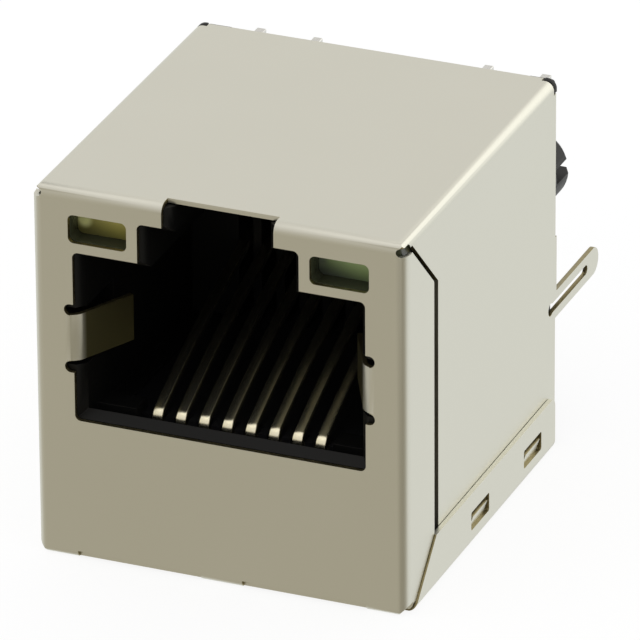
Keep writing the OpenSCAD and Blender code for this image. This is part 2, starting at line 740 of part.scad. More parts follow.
// A split locating peg, tapered at its nose.
module peg() translate([peg_pitch / 2, 0, shield_h - peg_drop]) difference() {
    rotate([-90, 0, 0]) {
        translate([0, 0, rear_y - past]) cylinder(r = peg_r, h = foot_h + past + peg_reach - peg_nose);
        translate([0, 0, seat_y + peg_reach - peg_nose])
            cylinder(r1 = peg_r, r2 = peg_end_r, h = peg_nose);
    }
    block([-2 * peg_r, seat_y + peg_root, peg_slot_up - peg_slot / 2],
        [2 * peg_r, seat_y + peg_reach + past, peg_slot_up + peg_slot / 2]);
}

// Feet that hold the jack off the board: one at each corner and a bar in the middle.
module feet() {
    intersection() {
        envelope(skin, seat_y);
        both_sides() for (z = [skin, shield_h - skin - foot_s])
            block([half_w - skin - foot_s, rear_y - past, z], [half_w, seat_y, z + foot_s]);
    }
    block([-foot_s, rear_y - past, shield_h - peg_drop - foot_s / 2],
        [foot_s, seat_y, shield_h - peg_drop + foot_s / 2]);
}

// The upper rear corners, which fill the shield's cut-back corners flush.
module rear_corners() intersection() {
    envelope(0, rear_y);
    both_sides() block([corner_in + fit_gap, shield_d - corner_back + fit_gap,
        shield_h - corner_h + fit_gap], [shield_w, rear_y, shield_h]);
}

module housing() placed() color([0.1, 0.1, 0.11]) difference() {
    union() {
        envelope(skin, rear_y);
        rear_corners();
        feet();
        both_sides() peg();
    }
    plug_cavity();
    both_sides() {
        finger_recess();
        lamp_pocket();
    }
    carrier_pocket();
    comb_slots();
}

// ---------------------------------------------------------------- the jack

shield();
housing();
contact_carrier();
for (i = [1:contact_count])
    contact(i);
for (side = [-1, 1]) let (name = side < 0 ? "lamp_left_" : "lamp_right_", tint = side < 0 ? yellow : green) {
    color(tint) on_side(side) lamp_body();
    color("silver") on_side(side) anode();
    color("silver") on_side(side) cathode();
    color(tint) on_side(side) chip();
    color("gold") on_side(side) bond_wire();
}
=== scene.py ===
import math

import bmesh
import bpy
import numpy as np
from mathutils import Matrix, Vector


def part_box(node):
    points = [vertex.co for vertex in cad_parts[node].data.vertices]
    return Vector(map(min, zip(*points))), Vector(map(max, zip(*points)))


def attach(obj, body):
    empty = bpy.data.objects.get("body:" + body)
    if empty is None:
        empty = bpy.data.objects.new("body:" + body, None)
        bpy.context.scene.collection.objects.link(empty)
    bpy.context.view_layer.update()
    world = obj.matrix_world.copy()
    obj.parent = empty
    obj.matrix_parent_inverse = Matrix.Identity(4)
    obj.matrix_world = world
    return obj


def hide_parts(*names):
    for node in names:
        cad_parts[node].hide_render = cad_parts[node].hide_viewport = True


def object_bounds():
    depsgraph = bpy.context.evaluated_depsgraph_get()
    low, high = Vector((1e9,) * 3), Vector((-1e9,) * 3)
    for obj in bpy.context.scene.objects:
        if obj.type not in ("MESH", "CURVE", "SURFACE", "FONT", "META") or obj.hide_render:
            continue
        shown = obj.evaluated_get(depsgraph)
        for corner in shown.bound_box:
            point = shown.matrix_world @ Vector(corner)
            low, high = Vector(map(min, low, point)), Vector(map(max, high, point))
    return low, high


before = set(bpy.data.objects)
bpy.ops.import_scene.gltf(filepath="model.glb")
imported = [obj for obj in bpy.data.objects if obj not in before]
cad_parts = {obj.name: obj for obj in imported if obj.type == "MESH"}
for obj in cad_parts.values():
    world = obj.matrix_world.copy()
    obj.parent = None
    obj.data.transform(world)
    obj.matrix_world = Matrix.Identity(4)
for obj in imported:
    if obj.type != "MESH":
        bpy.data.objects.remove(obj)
cad_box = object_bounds()
MM = 0.001

# ------------------------------------------------------------------ camera
# A long lens, turned to the right of the port and tipped down on it. The aim is near the
# middle of the jack, and the roll is the camera's own slight tilt.
aim = Vector((1.91, -4.93, 9.46)) * MM
distance = 385 * MM
azimuth, elevation, roll = math.radians(22.33), math.radians(26.05), math.radians(-0.395)

sight = Vector((-math.sin(azimuth) * math.cos(elevation),
                math.cos(azimuth) * math.cos(elevation),
                -math.sin(elevation)))
level = Vector((math.cos(azimuth), math.sin(azimuth), 0))
upright = level.cross(sight)
right = math.cos(roll) * level + math.sin(roll) * upright
up = right.cross(sight)

lens = bpy.data.cameras.new("camera")
lens.sensor_width = 36
lens.lens = 536.4
lens.clip_start, lens.clip_end = 0.01, 20
camera = bpy.data.objects.new("camera", lens)
camera.matrix_world = Matrix((
    (right.x, up.x, -sight.x, aim.x - distance * sight.x),
    (right.y, up.y, -sight.y, aim.y - distance * sight.y),
    (right.z, up.z, -sight.z, aim.z - distance * sight.z),
    (0, 0, 0, 1)))
bpy.context.scene.collection.objects.link(camera)
bpy.context.scene.camera = camera
bpy.context.scene.view_settings.view_transform = "Standard"


# ----------------------------------------------------------------- housing
# The moulded body of black glass-filled PBT that carries everything else. Its stepped
# plug cavity has a lead-in chamfer, and its edges are those of a spark-eroded mould.

def linear(colour, strength=1.0):
    """sRGB hex to linear RGBA: ((c + 0.055) / 1.055) ** 2.4, or c / 12.92 up to 0.04045."""
    c = np.array([int(colour[i:i + 2], 16) for i in (1, 3, 5)]) / 255
    c = np.where(c > 0.04045, ((c + 0.055) / 1.055) ** 2.4, c / 12.92)
    return (*(c * strength).tolist(), 1.0)


def add(tree, kind, inputs=None, **settings):
    """Adds one node: its settings by name, and each input's value or the output that feeds it."""
    node = tree.nodes.new(kind)
    for name, value in settings.items():
        setattr(node, name, value)
    for name, value in (inputs or {}).items():
        if isinstance(value, bpy.types.NodeSocket):
            tree.links.new(value, node.inputs[name])
        else:
            node.inputs[name].default_value = value
    return node


def new_material(name):
    """An empty node material and its tree."""
    material = bpy.data.materials.new(name)
    material.use_nodes = True
    material.node_tree.nodes.clear()
    return material, material.node_tree


def joined_copy(node):
    """A new piece with a CAD node's shape: corners within a micrometre become one, and the
    lines between triangles of one plane are dissolved. It stands for the node."""
    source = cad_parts[node].data
    points = np.empty(len(source.vertices) * 3, np.float32)
    source.vertices.foreach_get("co", points)
    corners = np.empty(len(source.loops), np.int32)
    source.loops.foreach_get("vertex_index", corners)
    mesh = bpy.data.meshes.new(node + "_form")
    mesh.from_pydata(points.reshape(-1, 3), [], corners.reshape(-1, 3).tolist())
    build = bmesh.new()
    build.from_mesh(mesh)
    bmesh.ops.remove_doubles(build, verts=build.verts, dist=1e-6)
    bmesh.ops.dissolve_degenerate(build, edges=build.edges, dist=1e-6)
    bmesh.ops.dissolve_limit(build, angle_limit=math.radians(0.5),
                             verts=build.verts, edges=build.edges)
    build.to_mesh(mesh)
    build.free()
    piece = bpy.data.objects.new(node + "_form", mesh)
    bpy.context.scene.collection.objects.link(piece)
    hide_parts(node)
    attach(piece, "root")
    return piece


def ease_edges(piece, width, steps=2):
    """Rounds the edges sharper than 45 degrees and weights the normals by face area, so
    that flat faces shade flat up to their rounded edges."""
    piece.data.shade_smooth()
    bevel = piece.modifiers.new("eased_edges", "BEVEL")
    bevel.width = width
    bevel.segments = steps
    bevel.limit_method = "ANGLE"
    bevel.angle_limit = math.radians(45)
    bevel.miter_outer = "MITER_ARC"
    bevel.harden_normals = False
    weighted = piece.modifiers.new("flat_faces", "WEIGHTED_NORMAL")
    weighted.keep_sharp = False
    weighted.weight = 100


# Black glass-filled PBT, moulded: a dull black skin whose fine spark-eroded grain breaks
# up the light, with faint flow marks in its gloss. The tint and the shine of the lamp
# windows' walls stand in for the lamps' colour that falls on them: the tint is painted light.
pbt, tree = new_material("black_glass_filled_pbt")
place = add(tree, "ShaderNodeTexCoord").outputs["Object"]
grain = add(tree, "ShaderNodeTexNoise", {"Vector": place, "Scale": 9000.0, "Detail": 3.0})
flow = add(tree, "ShaderNodeTexNoise", {"Vector": place, "Scale": 350.0, "Detail": 2.0})
gloss = add(tree, "ShaderNodeMapRange", {"Value": flow.outputs["Fac"],
                                         "To Min": 0.38, "To Max": 0.52})
tint = add(tree, "ShaderNodeMapRange", {"Value": flow.outputs["Fac"]})
shade = add(tree, "ShaderNodeMix", {"Factor": tint.outputs["Result"], "A": linear("#0B0B0B"),
                                    "B": linear("#121211")}, data_type="RGBA")
part = add(tree, "ShaderNodeSeparateXYZ", {"Vector": place})
window_side = 3.8 * MM                         # the windows' nearest distance from the middle
window_low = cad_box[1][2] - 2.6 * MM
window_rear = cad_box[0][1] + 1.3 * MM
aside = add(tree, "ShaderNodeMath", {0: part.outputs["X"]}, operation="ABSOLUTE")
inside = [add(tree, "ShaderNodeMath", {0: aside.outputs[0], 1: window_side},
              operation="GREATER_THAN"),
          add(tree, "ShaderNodeMath", {0: part.outputs["Z"], 1: window_low},
              operation="GREATER_THAN"),
          add(tree, "ShaderNodeMath", {0: part.outputs["Y"], 1: window_rear},
              operation="LESS_THAN")]
lamp_lit_walls = inside[0]
for limit in inside[1:]:
    lamp_lit_walls = add(tree, "ShaderNodeMath", {0: lamp_lit_walls.outputs[0], 1: limit.outputs[0]},
                   operation="MULTIPLY")
# Painted light: the windows' walls take a greenish tint for the lamps' light that falls on them.
shade = add(tree, "ShaderNodeMix", {"Factor": lamp_lit_walls.outputs[0], "A": shade.outputs["Result"],
                                    "B": linear("#3F4230")}, data_type="RGBA")
gloss = add(tree, "ShaderNodeMix", {"Factor": lamp_lit_walls.outputs[0],
                                    "A": gloss.outputs["Result"], "B": 0.2})
bump = add(tree, "ShaderNodeBump", {"Height": grain.outputs["Fac"], "Strength": 0.25,
                                    "Distance": 0.01 * MM})
skin = add(tree, "ShaderNodeBsdfPrincipled", {"Base Color": shade.outputs["Result"],
                                              "Roughness": gloss.outputs["Result"],
                                              "Specular IOR Level": 0.22,
                                              "Normal": bump.outputs["Normal"]})
add(tree, "ShaderNodeOutputMaterial", {"Surface": skin.outputs["BSDF"]})

housing = joined_copy("housing")
housing.data.materials.append(pbt)
ease_edges(housing, 0.05 * MM)

# ------------------------------------------------------------------ carrier
# A bar of black LCP, moulded round the contacts and pushed into the housing from the
# rear. It flows thin, so its skin is a little shinier than the housing's.
lcp, tree = new_material("black_moulded_lcp")
place = add(tree, "ShaderNodeTexCoord").outputs["Object"]
stretched = add(tree, "ShaderNodeMapping", {"Vector": place, "Scale": (1.0, 0.15, 1.0)})
flow = add(tree, "ShaderNodeTexNoise", {"Vector": stretched.outputs["Vector"],
                                        "Scale": 2500.0, "Detail": 3.0})
gloss = add(tree, "ShaderNodeMapRange", {"Value": flow.outputs["Fac"],
                                         "To Min": 0.28, "To Max": 0.48})
bump = add(tree, "ShaderNodeBump", {"Height": flow.outputs["Fac"], "Strength": 0.2,
                                    "Distance": 0.01 * MM})
skin = add(tree, "ShaderNodeBsdfPrincipled", {"Base Color": linear("#141416"),
                                              "Roughness": gloss.outputs["Result"],
                                              "IOR": 1.6, "Normal": bump.outputs["Normal"]})
add(tree, "ShaderNodeOutputMaterial", {"Surface": skin.outputs["BSDF"]})

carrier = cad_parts["contact_carrier"]
carrier.data.materials.clear()
carrier.data.materials.append(lcp)

# ----------------------------------------------------------------- contacts
# Eight springs of phosphor bronze, stamped, bent and plated: gold over nickel where the
# plug's contacts slide, and dull tin on the tails, which are soldered to the board.

def bar(name, middle, across, upward, width, height, edge):
    """A closed bar along a path. At each point of the path stands a rounded rectangle of
    that width and height, its corners quarter circles of radius edge:
    point = middle + across * x(t) + upward * y(t). Both ends are rounded alike: within
    edge of the end, the rectangle draws in by edge * (1 - sin b) as it nears the end."""
    middle, across, upward = (np.asarray(a, float) for a in (middle, across, upward))
    count = len(middle)
    across = np.broadcast_to(across, (count, 3))
    upward = np.broadcast_to(upward, (count, 3))
    width = np.broadcast_to(np.asarray(width, float), count)
    height = np.broadcast_to(np.asarray(height, float), count)
    b = np.linspace(math.pi / 2, 0, 4)
    reach, draw = edge * (1 - np.sin(b)), edge * (1 - np.cos(b))
    ends = []
    for first, second in ((0, 1), (-1, -2)):
        way = middle[second] - middle[first]
        way /= np.linalg.norm(way)
        ends.append(middle[first] + reach[:, None] * way)
    middle = np.concatenate([ends[0], middle[1:-1], ends[1][::-1]])
    across = np.concatenate([across[[0] * 4], across[1:-1], across[[-1] * 4]])
    upward = np.concatenate([upward[[0] * 4], upward[1:-1], upward[[-1] * 4]])
    inset = np.concatenate([draw, np.zeros(count - 2), draw[::-1]])
    width = np.concatenate([width[[0] * 4], width[1:-1], width[[-1] * 4]]) / 2 - inset
    height = np.concatenate([height[[0] * 4], height[1:-1], height[[-1] * 4]]) / 2 - inset
    radius = np.minimum(np.minimum(width, height) * 0.98, np.maximum(edge - inset, edge * 0.3))
    turn = np.linspace(0, math.pi / 2, 4)
    angle = (np.arange(4)[:, None] * math.pi / 2 + turn).ravel()
    sign_x = np.repeat([1, -1, -1, 1], 4)
    sign_y = np.repeat([1, 1, -1, -1], 4)
    x = sign_x * (width - radius)[:, None] + radius[:, None] * np.cos(angle)
    y = sign_y * (height - radius)[:, None] + radius[:, None] * np.sin(angle)
    points = (middle[:, None] + across[:, None] * x[..., None]
              + upward[:, None] * y[..., None])
    rings, sides = x.shape
    i, j = np.meshgrid(np.arange(rings - 1), np.arange(sides), indexing="ij")
    k = (j + 1) % sides
    walls = np.stack([i * sides + j, i * sides + k,
                      (i + 1) * sides + k, (i + 1) * sides + j], -1)
    mesh = bpy.data.meshes.new(name)
    caps = [list(range(sides))[::-1], list(range((rings - 1) * sides, rings * sides))]
    mesh.from_pydata((points.reshape(-1, 3) * MM).tolist(), [],
                     walls.reshape(-1, 4).tolist() + caps)
    build = bmesh.new()
    build.from_mesh(mesh)
    bmesh.ops.recalc_face_normals(build, faces=build.faces)
    build.to_mesh(mesh)
    build.free()
    mesh.shade_smooth()
    mesh.set_sharp_from_angle(angle=math.radians(50))
    piece = bpy.data.objects.new(name, mesh)
    bpy.context.scene.collection.objects.link(piece)
    return piece


# Gold over nickel on phosphor bronze, and matte tin behind the housing: the gold is
# smooth with fine drawing lines along the strip, the tin dull and faintly crystalline.
plating, tree = new_material("gold_and_tin_on_phosphor_bronze")
place = add(tree, "ShaderNodeTexCoord").outputs["Object"]
along = add(tree, "ShaderNodeMapping", {"Vector": place, "Scale": (1.0, 0.04, 1.0)})
lines = add(tree, "ShaderNodeTexNoise", {"Vector": along.outputs["Vector"],
                                         "Scale": 14000.0, "Detail": 2.0})
crystals = add(tree, "ShaderNodeTexVoronoi", {"Vector": place, "Scale": 6000.0})
depth = add(tree, "ShaderNodeSeparateXYZ", {"Vector": place}).outputs["Y"]
tinned = add(tree, "ShaderNodeMapRange", {"Value": depth, "From Min": 4.0 * MM,
                                          "From Max": 4.4 * MM})
bright = add(tree, "ShaderNodeMix", {"Factor": lines.outputs["Fac"], "A": linear("#F4ECCB"),
                                     "B": linear("#FFFAE2")}, data_type="RGBA")
dull_tin_and_port_reflection = add(tree, "ShaderNodeMix", {"Factor": crystals.outputs["Distance"], "A": linear("#C9C8C4"),
                                   "B": linear("#DAD9D6")}, data_type="RGBA")
colour = add(tree, "ShaderNodeMix", {"Factor": tinned.outputs["Result"],
                                     "A": bright.outputs["Result"],
                                     "B": dull_tin_and_port_reflection.outputs["Result"]}, data_type="RGBA")
gloss = add(tree, "ShaderNodeMapRange", {"Value": tinned.outputs["Result"],
                                         "To Min": 0.24, "To Max": 0.42})
bump = add(tree, "ShaderNodeBump", {"Height": lines.outputs["Fac"], "Strength": 0.15,
                                    "Distance": 0.01 * MM})
metal = add(tree, "ShaderNodeBsdfPrincipled", {"Base Color": colour.outputs["Result"],
                                               "Metallic": 1.0,
                                               "Roughness": gloss.outputs["Result"],
                                               "Normal": bump.outputs["Normal"]})
add(tree, "ShaderNodeOutputMaterial", {"Surface": metal.outputs["BSDF"]})

face_y = cad_box[0][1] / MM          # the port face, in millimetres
seat_y = face_y + 17.4               # the circuit board's face
contact_pitch, tail_pitch = 1.016, 1.27
strip_w, strip_t = 0.45, 0.3
bend_y, bend_z, bend_r = face_y + 2.55, 5.77, 0.5
arm_slope, arm_end_slope, arm_l = math.radians(25.5), math.radians(14.0), 10.05
run_z, step_r = 5.27, 0.35
fan_start, fan_end = face_y + 5.5, face_y + 8.5
tail_reach, tail_nose = 3.2, 0.4

for number in range(1, 9):
    place_x = (number - 4.5) * contact_pitch
    tail_x = (number - 4.5) * tail_pitch
    odd = number % 2
    tail_z = 2.06 if odd else 4.6
    step_y = face_y + (11.0 if odd else 12.6)
    # The free arm, a parabola that flattens towards its end, from the end to the bend.
    root = np.array([bend_y - bend_r * math.sin(arm_slope), bend_z + bend_r * math.cos(arm_slope)])
    d = np.linspace(arm_l, 0, 28, endpoint=False)
    sag = (math.tan(arm_slope) - math.tan(arm_end_slope)) / (2 * arm_l)
    arm = np.stack([root[0] + d, root[1] + d * math.tan(arm_slope) - sag * d * d], 1)
    # The front bend, an arc from the arm's root round to the level run below it.
    a = np.linspace(math.pi / 2 + arm_slope, 1.5 * math.pi, 22)
    bend = np.stack([bend_y + bend_r * np.cos(a), bend_z + bend_r * np.sin(a)], 1)
    # The level run, two arcs down to the tail's row, and the tail.
    run = np.stack([np.linspace(bend_y + 0.4, fan_end + 0.3, 30), np.full(30, run_z)], 1)
    drop = run_z - tail_z
    turn = math.acos(max(0.0, 1 - drop / (2 * step_r)))
    half = step_r * math.sin(turn)
    a = math.pi / 2 - np.linspace(0, turn, 9)
    over = np.stack([step_y - half + step_r * np.cos(a), run_z - step_r + step_r * np.sin(a)], 1)
    a = 1.5 * math.pi - np.linspace(turn, 0, 9)
    under = np.stack([step_y + half + step_r * np.cos(a), tail_z + step_r + step_r * np.sin(a)], 1)
    if drop < 2 * step_r:
        under = under[1:]
    nose = seat_y + tail_reach - tail_nose
    tail = np.array([[nose, tail_z], [nose + tail_nose / 2, tail_z], [nose + tail_nose, tail_z]])
    line = np.concatenate([arm, bend, run, over, under, tail])
    # Sideways the strip moves to its tail's place between the two depths of the fan.
    on_run = np.arange(len(line)) >= len(arm) + len(bend)
    fanned = np.interp(line[:, 0], [fan_start, fan_end], [0, 1]) * on_run
    middle = np.stack([place_x + (tail_x - place_x) * fanned, line[:, 0], line[:, 1]], 1)
    heading = np.gradient(line, axis=0)
    heading /= np.linalg.norm(heading, axis=1)[:, None]
    upward = np.stack([np.zeros(len(line)), -heading[:, 1], heading[:, 0]], 1)
    width = np.full(len(line), strip_w)
    width[-2:] = strip_w * 0.8, strip_w * 0.5
    height = np.full(len(line), strip_t)
    height[-2:] = strip_t * 0.95, strip_t * 0.8
    contact = bar(f"contact_{number}_strip", middle, (1, 0, 0), upward, width, height, 0.05)
    contact.data.materials.append(plating)
    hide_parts(f"contact_{number}")
    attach(contact, "root")

# -------------------------------------------------------------------- lamps
# Two lamps drop into pockets behind the windows: yellow on the left and green on the
# right. Each is a cast block of tinted clear epoxy round a chip, its cup and its leads.
lead_metal, tree = new_material("tinned_steel_wire")
place = add(tree, "ShaderNodeTexCoord").outputs["Object"]
along = add(tree, "ShaderNodeMapping", {"Vector": place, "Scale": (1.0, 0.05, 1.0)})
lines = add(tree, "ShaderNodeTexNoise", {"Vector": along.outputs["Vector"],
                                         "Scale": 9000.0, "Detail": 3.0})
tone = add(tree, "ShaderNodeMix", {"Factor": lines.outputs["Fac"], "A": linear("#D2D1CD"),
                                   "B": linear("#E8E7E3")}, data_type="RGBA")
gloss = add(tree, "ShaderNodeMapRange", {"Value": lines.outputs["Fac"],
                                         "To Min": 0.2, "To Max": 0.34})
bump = add(tree, "ShaderNodeBump", {"Height": lines.outputs["Fac"], "Strength": 0.2,
                                    "Distance": 0.01 * MM})
metal = add(tree, "ShaderNodeBsdfPrincipled", {"Base Color": tone.outputs["Result"],
                                               "Metallic": 1.0,
                                               "Roughness": gloss.outputs["Result"],
                                               "Normal": bump.outputs["Normal"]})
add(tree, "ShaderNodeOutputMaterial", {"Surface": metal.outputs["BSDF"]})

# Gold wire, drawn to a few hundredths of a millimetre, is as smooth as it looks.
gold, tree = new_material("drawn_gold_wire")
place = add(tree, "ShaderNodeTexCoord").outputs["Object"]
shimmer = add(tree, "ShaderNodeTexNoise", {"Vector": place, "Scale": 4000.0})
tone = add(tree, "ShaderNodeMix", {"Factor": shimmer.outputs["Fac"], "A": linear("#E9B949"),
                                   "B": linear("#F7D67E")}, data_type="RGBA")
metal = add(tree, "ShaderNodeBsdfPrincipled", {"Base Color": tone.outputs["Result"],
                                               "Metallic": 1.0, "Roughness": 0.15})
add(tree, "ShaderNodeOutputMaterial", {"Surface": metal.outputs["BSDF"]})

for side, dim_tint, lit_body_tint, spot_tint, die_tint in (
        ("left", "#6E6A3A", "#E6DA66", "#F8F8A8", "#D8C23A"),
        ("right", "#4E5448", "#C2E08C", "#6E7660", "#A9C94A")):
    # Tinted epoxy, slightly milky. Its tone is painted brighter in the upper part and darker
    # low down, painted light for the light inside it, and a spot stands in for the lead post
    # seen through it, its light and shade painted: bright in the yellow lamp, dark in the green.
    epoxy, tree = new_material(f"tinted_epoxy_{side}")
    place = add(tree, "ShaderNodeTexCoord").outputs["Object"]
    low, high = (np.array(c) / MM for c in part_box(f"lamp_{side}_body"))
    post = Vector((low[0] + 0.45, low[1], high[2] - 1.15)) * MM
    spot_r, spot_core_r = 0.45 * MM, 0.12 * MM
    reach = add(tree, "ShaderNodeVectorMath", {0: place, 1: post}, operation="DISTANCE")
    spot = add(tree, "ShaderNodeMapRange", {"Value": reach.outputs["Value"],
                                            "From Min": spot_r, "From Max": spot_core_r},
               interpolation_type="SMOOTHSTEP")
    # The painted glow grows along steep * z + x, in millimetres past the dim and full places.
    steep, dim_past, full_before = 3.0, 1.2, 2.6
    part = add(tree, "ShaderNodeSeparateXYZ", {"Vector": place})
    slant = add(tree, "ShaderNodeMath", {0: part.outputs["Z"], 1: steep, 2: part.outputs["X"]},
                operation="MULTIPLY_ADD")
    start = (steep * low[2] + low[0] + dim_past) * MM
    end = (steep * high[2] + high[0] - full_before) * MM
    glow = add(tree, "ShaderNodeMapRange", {"Value": slant.outputs[0],
                                            "From Min": start, "From Max": end},
               interpolation_type="SMOOTHSTEP")
    # Painted light: the epoxy goes from the dim tint low down to the lit tint high up.
    tone = add(tree, "ShaderNodeMix", {"Factor": glow.outputs["Result"], "A": linear(dim_tint),
                                       "B": linear(lit_body_tint)}, data_type="RGBA")
    # Painted light on the lead post: a bright spot in the yellow lamp, a dark one in the green.
    tone = add(tree, "ShaderNodeMix", {"Factor": spot.outputs["Result"],
                                       "A": tone.outputs["Result"],
                                       "B": linear(spot_tint)}, data_type="RGBA")
    clear = add(tree, "ShaderNodeBsdfPrincipled", {"Base Color": tone.outputs["Result"],
                                                   "IOR": 1.54, "Roughness": 0.3,
                                                   "Transmission Weight": 0.15})
    add(tree, "ShaderNodeOutputMaterial", {"Surface": clear.outputs["BSDF"]})
    middle = np.array([[(low[0] + high[0]) / 2, y, (low[2] + high[2]) / 2]
                       for y in np.linspace(high[1], low[1], 4)])
    mould_r = 0.12
    body = bar(f"lamp_{side}_block", middle, (1, 0, 0), (0, 0, 1),
               high[0] - low[0], high[2] - low[2], mould_r)
    body.data.materials.append(epoxy)
    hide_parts(f"lamp_{side}_body")
    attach(body, "root")

    # The semiconductor die, a small glossy block of the lamp's own colour.
    die, tree = new_material(f"light_chip_{side}")
    place = add(tree, "ShaderNodeTexCoord").outputs["Object"]
    cloud = add(tree, "ShaderNodeTexNoise", {"Vector": place, "Scale": 5000.0})
    tone = add(tree, "ShaderNodeMix", {"Factor": cloud.outputs["Fac"], "A": linear(die_tint),
                                       "B": linear("#8A7A2A")}, data_type="RGBA")
    block = add(tree, "ShaderNodeBsdfPrincipled", {"Base Color": tone.outputs["Result"],
                                                   "Roughness": 0.2})
    add(tree, "ShaderNodeOutputMaterial", {"Surface": block.outputs["BSDF"]})
    for node, material in ((f"lamp_{side}_chip", die), (f"lamp_{side}_wire", gold)):
        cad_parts[node].data.materials.clear()
        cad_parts[node].data.materials.append(material)
    for part in ("anode", "cathode"):
        lead = joined_copy(f"lamp_{side}_{part}")
        lead.data.materials.append(lead_metal)
        ease_edges(lead, 0.04 * MM)

# ------------------------------------------------------------------- shield
# One sheet of copper alloy, 0.2 mm thick, nickel-plated in the strip, then punched and
# folded round the housing, so the punched edges show the bare yellowish metal.

def mark_cut_edges(mesh, thickness):
    """Gives the second material to the sheet's cut edges. Faces that meet at less than 40
    degrees form one patch, and a patch whose doubled area over its outline's length is no
    more than the sheet's thickness is a cut edge, unless it faces the front. Lengths are
    in metres."""
    count = len(mesh.polygons)
    area, centre_normal = np.empty(count), np.empty(count * 3)
    mesh.polygons.foreach_get("area", area)
    mesh.polygons.foreach_get("normal", centre_normal)
    normal = centre_normal.reshape(-1, 3)
    total = np.empty(count, np.int32)
    mesh.polygons.foreach_get("loop_total", total)
    face = np.repeat(np.arange(count), total)
    edge = np.empty(len(mesh.loops), np.int32)
    mesh.loops.foreach_get("edge_index", edge)
    ends = np.empty(len(mesh.edges) * 2, np.int32)
    mesh.edges.foreach_get("vertices", ends)
    points = np.empty(len(mesh.vertices) * 3)
    mesh.vertices.foreach_get("co", points)
    ends, points = ends.reshape(-1, 2), points.reshape(-1, 3)
    length = np.linalg.norm(points[ends[:, 0]] - points[ends[:, 1]], axis=1)
    order = np.argsort(edge, kind="stable")
    edge, face = edge[order], face[order]
    pair = np.flatnonzero(edge[1:] == edge[:-1])
    one, other = face[pair], face[pair + 1]
    smooth = np.einsum("ij,ij->i", normal[one], normal[other]) > math.cos(math.radians(40))
    patch = np.arange(count)
    while True:
        before = patch.copy()
        least = np.minimum(patch[one[smooth]], patch[other[smooth]])
        np.minimum.at(patch, one[smooth], least)
        np.minimum.at(patch, other[smooth], least)
        patch = patch[patch]
        if np.array_equal(patch, before):
            break
    inner = np.zeros(len(mesh.edges), bool)
    inner[edge[pair][smooth]] = True
    outline = np.bincount(patch[face], length[edge] * ~inner[edge], count)
    size = np.bincount(patch, area, count)
    narrow = (2 * size / np.maximum(outline, 1e-9) <= thickness) & (normal[:, 1] > -0.9)
    mesh.polygons.foreach_set("material_index", narrow[patch].astype(np.int32))


# Satin nickel plate on rolled strip: a pale warm grey, matte and even, with a faint
# cloudiness and the finest of grains. The plate is the same all over: the darker olive
# tone of the spring fingers is a painted reflection of the dark port that they mirror.
nickel, tree = new_material("satin_nickel_plate")
place = add(tree, "ShaderNodeTexCoord").outputs["Object"]
cloud = add(tree, "ShaderNodeTexNoise", {"Vector": place, "Scale": 180.0, "Detail": 3.0})
grain = add(tree, "ShaderNodeTexNoise", {"Vector": place, "Scale": 12000.0, "Detail": 2.0})
tone = add(tree, "ShaderNodeMix", {"Factor": cloud.outputs["Fac"], "A": linear("#DCDBCF"),
                                   "B": linear("#DFDED3")}, data_type="RGBA")
finger_side, finger_fade = 7.4 * MM, 7.2 * MM  # the fingers lie nearer to the middle
finger_low, finger_high = 2.0 * MM, 14.0 * MM
fold_end, port_reflection_start = (face_y + 0.3) * MM, (face_y + 0.55) * MM
part = add(tree, "ShaderNodeSeparateXYZ", {"Vector": place})
aside = add(tree, "ShaderNodeMath", {0: part.outputs["X"]}, operation="ABSOLUTE")
inside = [add(tree, "ShaderNodeMapRange", {"Value": aside.outputs[0], "From Min": finger_side,
                                           "From Max": finger_fade}),
          add(tree, "ShaderNodeMapRange", {"Value": part.outputs["Y"], "From Min": fold_end,
                                           "From Max": port_reflection_start}),
          add(tree, "ShaderNodeMath", {0: part.outputs["Z"], 1: finger_high},
              operation="LESS_THAN"),
          add(tree, "ShaderNodeMath", {0: part.outputs["Z"], 1: finger_low},
              operation="GREATER_THAN")]
dull_tin_and_port_reflection = inside[0]
for limit in inside[1:]:
    dull_tin_and_port_reflection = add(tree, "ShaderNodeMath", {0: dull_tin_and_port_reflection.outputs[0], 1: limit.outputs[0]},
               operation="MULTIPLY")
# Painted reflection: the spring fingers inside the port take a dark olive tone for the dark port
# they mirror.
tone = add(tree, "ShaderNodeMix", {"Factor": dull_tin_and_port_reflection.outputs[0], "A": tone.outputs["Result"],
                                   "B": linear("#6A6648")}, data_type="RGBA")
gloss = add(tree, "ShaderNodeMapRange", {"Value": cloud.outputs["Fac"],
                                         "To Min": 0.38, "To Max": 0.44})
bump = add(tree, "ShaderNodeBump", {"Height": grain.outputs["Fac"], "Strength": 0.12,
                                    "Distance": 0.008 * MM})
metal = add(tree, "ShaderNodeBsdfPrincipled", {"Base Color": tone.outputs["Result"],
                                               "Metallic": 1.0,
                                               "Roughness": gloss.outputs["Result"],
                                               "Normal": bump.outputs["Normal"]})
add(tree, "ShaderNodeOutputMaterial", {"Surface": metal.outputs["BSDF"]})

